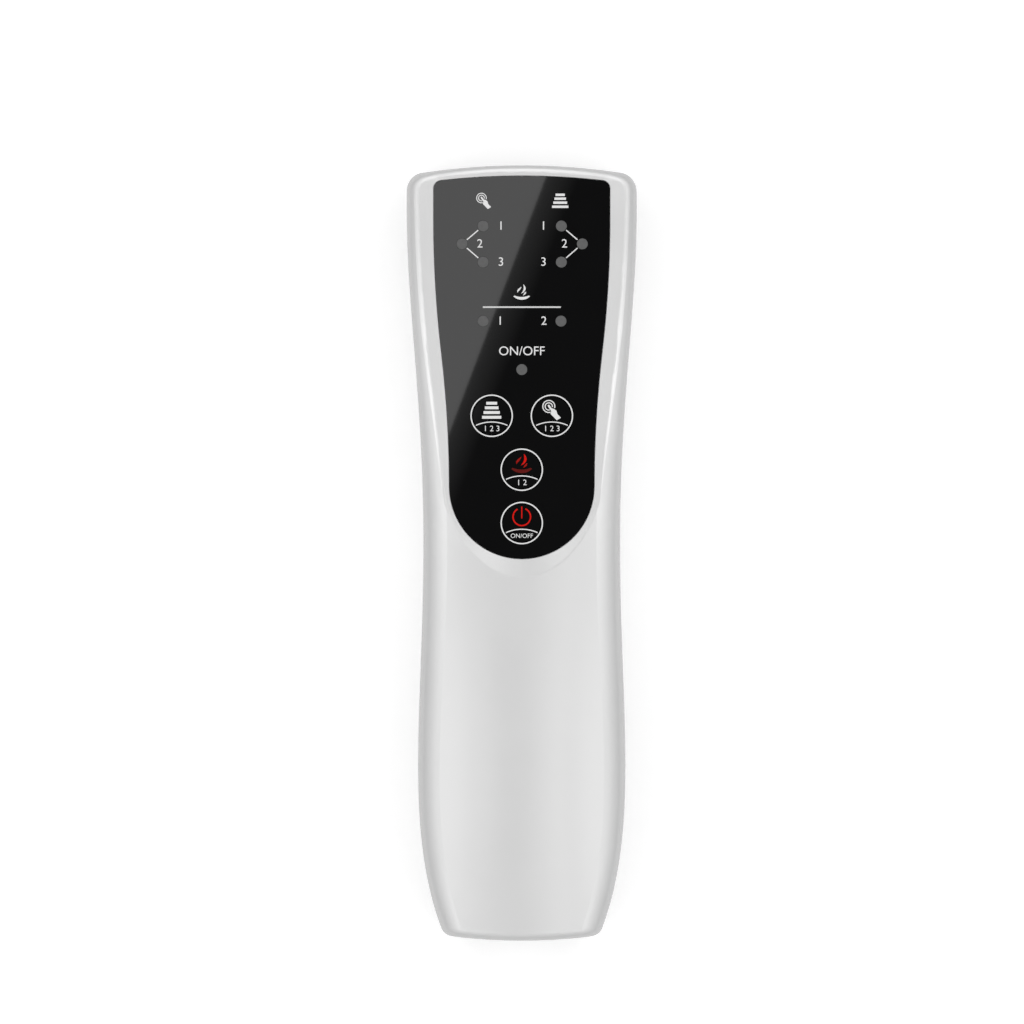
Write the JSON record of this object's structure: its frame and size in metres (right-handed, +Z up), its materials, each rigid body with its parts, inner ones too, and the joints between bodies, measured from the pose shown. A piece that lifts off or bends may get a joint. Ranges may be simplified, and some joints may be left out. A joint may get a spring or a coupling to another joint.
{
  "type": "air compression massager hand controller",
  "caption": "Hand-held controller of an air leg massager: waisted two-part housing with a black key panel, a wobble-plate air pump inside, hose sockets and a power jack at the foot.",
  "frame": {"origin": "centre of the housing's footprint, on the flat back that the handset lies on", "axes": "+Y towards the panel end along the handset, +Z up out of the panel, +X to the right seen from the front"},
  "size_m": [0.0594, 0.2, 0.034],
  "materials": {
    "shell": "satin gloss light grey moulded ABS",
    "panel": "gloss black acrylic",
    "button": "gloss black key caps",
    "window": "frosted smoke light guide",
    "tape": "thin adhesive foam",
    "steel": "zinc plated steel",
    "spring_steel": "spring wire",
    "can": "drawn steel can",
    "magnet": "sintered ferrite and carbon",
    "lamination": "stacked electrical steel",
    "copper": "enamelled copper wire",
    "bronze": "brass and sintered bronze",
    "circuit": "green solder mask",
    "black_plastic": "moulded black plastic",
    "white_plastic": "natural acetal",
    "capacitor": "sleeved aluminium can",
    "led": "white package",
    "rubber": "moulded black rubber",
    "tube": "soft silicone tube",
    "wire": "insulated stranded wire"
  },
  "bodies": {
    "housing": {"air_manifold": "white_plastic", "air_tubes": "tube", "board_connectors": "white_plastic", "board_screws": "steel", "capacitors": "capacitor", "control_board": "circuit", "controller_chip": "black_plastic", "dc_jack": "black_plastic", "dc_jack_pin": "steel", "diaphragm": "rubber", "driver_transistors": "black_plastic", "flap_valves": "rubber", "front_shell": "shell", "heater_contacts": "bronze", "housing_screws": "steel", "indicator_leds": "led", "left_valve_spring": "spring_steel", "light_guides": "window", "motor_brushes": "magnet", "motor_bushes": "bronze", "motor_can": "can", "motor_end_cap": "black_plastic", "motor_magnets": "magnet", "motor_screws": "steel", "motor_terminals": "bronze", "panel": "panel", "panel_tape": "tape", "port_block": "black_plastic", "pump_base": "white_plastic", "pump_cushions": "rubber", "pump_head": "white_plastic", "pump_screws": "steel", "rear_shell": "shell", "right_valve_spring": "spring_steel", "switch_bodies": "black_plastic", "valve_bobbins": "black_plastic", "valve_cores": "steel", "valve_noses": "white_plastic", "valve_plate": "white_plastic", "valve_windings": "copper", "valve_yokes": "steel", "wiring": "wire"},
    "mode_key": {"mode_button": "button", "mode_switch_plunger": "white_plastic"},
    "pressure_key": {"pressure_button": "button", "pressure_switch_plunger": "white_plastic"},
    "heat_key": {"heat_button": "button", "heat_switch_plunger": "white_plastic"},
    "power_key": {"power_button": "button", "power_switch_plunger": "white_plastic"},
    "rotor": {"motor_shaft": "steel", "armature_core": "lamination", "armature_windings": "copper", "commutator": "copper", "crank_wheel": "white_plastic", "crank_pin": "steel"},
    "wobble": {"wobble_plate": "white_plastic"},
    "left_plunger": {"left_valve_plunger": "steel"},
    "right_plunger": {"right_valve_plunger": "steel"}
  },
  "joints": [
    {"name": "mode_press", "type": "slide", "parent": "housing", "child": "mode_key", "axis": [0, 0, -1], "range_m": [0, 0.0005], "stiffness_N_per_m": 400, "springref_m": -0.001},
    {"name": "pressure_press", "type": "slide", "parent": "housing", "child": "pressure_key", "axis": [0, 0, -1], "range_m": [0, 0.0005], "stiffness_N_per_m": 400, "springref_m": -0.001},
    {"name": "heat_press", "type": "slide", "parent": "housing", "child": "heat_key", "axis": [0, 0, -1], "range_m": [0, 0.0005], "stiffness_N_per_m": 400, "springref_m": -0.001},
    {"name": "power_press", "type": "slide", "parent": "housing", "child": "power_key", "axis": [0, 0, -1], "range_m": [0, 0.0005], "stiffness_N_per_m": 400, "springref_m": -0.001},
    {"name": "motor_spin", "type": "hinge", "parent": "housing", "child": "rotor", "pos_m": [0, -0.0305, 0.0159], "axis": [0, 1, 0], "continuous": true, "deforming": ["diaphragm"]},
    {"name": "wobble_turn", "type": "hinge", "parent": "rotor", "child": "wobble", "pos_m": [0, -0.0305, 0.0159], "axis": [0, 0.9903, -0.1392], "continuous": true, "deforming": ["diaphragm"]},
    {"name": "left_valve_lift", "type": "slide", "parent": "housing", "child": "left_plunger", "axis": [0, 1, 0], "range_m": [0, 0.0008], "stiffness_N_per_m": 200, "springref_m": -0.002, "deforming": ["left_valve_spring"]},
    {"name": "right_valve_lift", "type": "slide", "parent": "housing", "child": "right_plunger", "axis": [0, 1, 0], "range_m": [0, 0.0008], "stiffness_N_per_m": 200, "springref_m": -0.002, "deforming": ["right_valve_spring"]}
  ],
  "couplings": [
    {"joint": "wobble_turn", "follows": "motor_spin", "ratio": -1}
  ]
}
